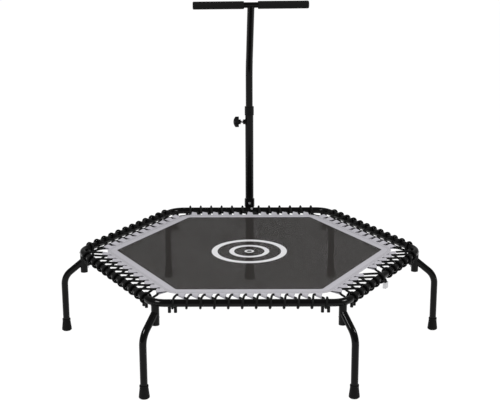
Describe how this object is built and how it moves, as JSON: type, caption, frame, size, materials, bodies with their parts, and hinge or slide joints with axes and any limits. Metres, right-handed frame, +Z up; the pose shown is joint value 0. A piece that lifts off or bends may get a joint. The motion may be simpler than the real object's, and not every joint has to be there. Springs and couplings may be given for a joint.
{
  "type": "mini trampoline",
  "caption": "Hexagonal fitness trampoline: a woven mat hung on elastic rope in a steel rail on splayed legs, with a height-adjustable T handle on a rear post.",
  "frame": {"origin": "on the floor, under the middle of the object's box", "axes": "+Z up; the handle post stands on the +Y side, the front faces -Y, +X to the right seen from the front"},
  "size_m": [1.433, 1.246, 1.1953],
  "materials": {
    "black_powder_coat": "gloss black powder coat on steel tube",
    "black_rubber": "matt moulded rubber",
    "elastic_rope": "braided cover over an elastic core",
    "woven_mesh": "open woven polypropylene mesh",
    "band_webbing": "light grey woven webbing, stitched",
    "tab_webbing": "light grey woven webbing",
    "zinc_steel": "bright zinc plate",
    "black_plastic": "moulded, fine grain",
    "knob_plastic": "moulded, satin",
    "pad_nylon": "natural nylon",
    "grip_foam": "closed-cell foam, matt"
  },
  "bodies": {
    "frame": {"frame_rail_front": "black_powder_coat", "frame_rail_right_front": "black_powder_coat", "frame_rail_right_rear": "black_powder_coat", "frame_rail_rear": "black_powder_coat", "frame_rail_left_rear": "black_powder_coat", "frame_rail_left_front": "black_powder_coat", "frame_bend_right": "black_powder_coat", "frame_bend_rear_right": "black_powder_coat", "frame_bend_rear_left": "black_powder_coat", "frame_bend_left": "black_powder_coat", "frame_bend_front_left": "black_powder_coat", "frame_bend_front_right": "black_powder_coat", "leg_spigots": "black_powder_coat", "leg_sleeves": "black_powder_coat", "leg_screws": "zinc_steel", "rope_pegs": "black_powder_coat", "rope_clip": "zinc_steel", "leg_right": "black_powder_coat", "leg_rear_right": "black_powder_coat", "leg_rear_left": "black_powder_coat", "leg_left": "black_powder_coat", "leg_front_left": "black_powder_coat", "leg_front_right": "black_powder_coat", "foot_right": "black_rubber", "foot_rear_right": "black_rubber", "foot_rear_left": "black_rubber", "foot_left": "black_rubber", "foot_front_left": "black_rubber", "foot_front_right": "black_rubber", "elastic_rope_front": "elastic_rope", "elastic_rope_right_front": "elastic_rope", "elastic_rope_right_rear": "elastic_rope", "elastic_rope_rear": "elastic_rope", "elastic_rope_left_rear": "elastic_rope", "elastic_rope_left_front": "elastic_rope", "post_tube": "black_powder_coat", "post_foot": "black_rubber", "post_bracket": "black_powder_coat", "bracket_bolts": "zinc_steel", "post_collar": "black_plastic", "clamp_nut": "black_powder_coat"},
    "mat": {"mat_mesh": "woven_mesh", "mat_band": "band_webbing", "mat_tabs_front": "tab_webbing", "mat_tabs_right_front": "tab_webbing", "mat_tabs_right_rear": "tab_webbing", "mat_tabs_rear": "tab_webbing", "mat_tabs_left_rear": "tab_webbing", "mat_tabs_left_front": "tab_webbing"},
    "clamp_tip": {"clamp_pad": "pad_nylon"},
    "clamp_knob": {"clamp_screw": "zinc_steel", "clamp_knob": "knob_plastic"},
    "handle_slider": {"handle_guide": "black_plastic"},
    "handle": {"handle_tube": "black_powder_coat", "crossbar": "black_powder_coat", "bar_plugs": "black_plastic", "grip_left": "grip_foam", "grip_right": "grip_foam"}
  },
  "joints": [
    {"name": "mat_bounce", "type": "slide", "parent": "frame", "child": "mat", "axis": [0, 0, 1], "range_m": [-0.08, 0], "stiffness_N_per_m": 9000, "springref_m": 0.004, "deforming": ["elastic_rope_front", "elastic_rope_right_front", "elastic_rope_right_rear", "elastic_rope_rear", "elastic_rope_left_rear", "elastic_rope_left_front"]},
    {"name": "handle_height", "type": "slide", "parent": "frame", "child": "handle_slider", "axis": [0, 0, 1], "range_m": [-0.11, 0.14]},
    {"name": "handle_turn", "type": "hinge", "parent": "handle_slider", "child": "handle", "pos_m": [0, 0.57835, 0.43], "axis": [0, 0, 1], "continuous": true},
    {"name": "knob_turn", "type": "hinge", "parent": "clamp_tip", "child": "clamp_knob", "pos_m": [-0.03, 0.57835, 0.687], "axis": [1, 0, 0], "range_deg": [-720, 0]},
    {"name": "screw_travel", "type": "slide", "parent": "frame", "child": "clamp_tip", "axis": [1, 0, 0], "range_m": [-0.003, 0]}
  ],
  "couplings": [
    {"joint": "knob_turn", "follows": "screw_travel", "rad_per_m": 4188.8}
  ]
}
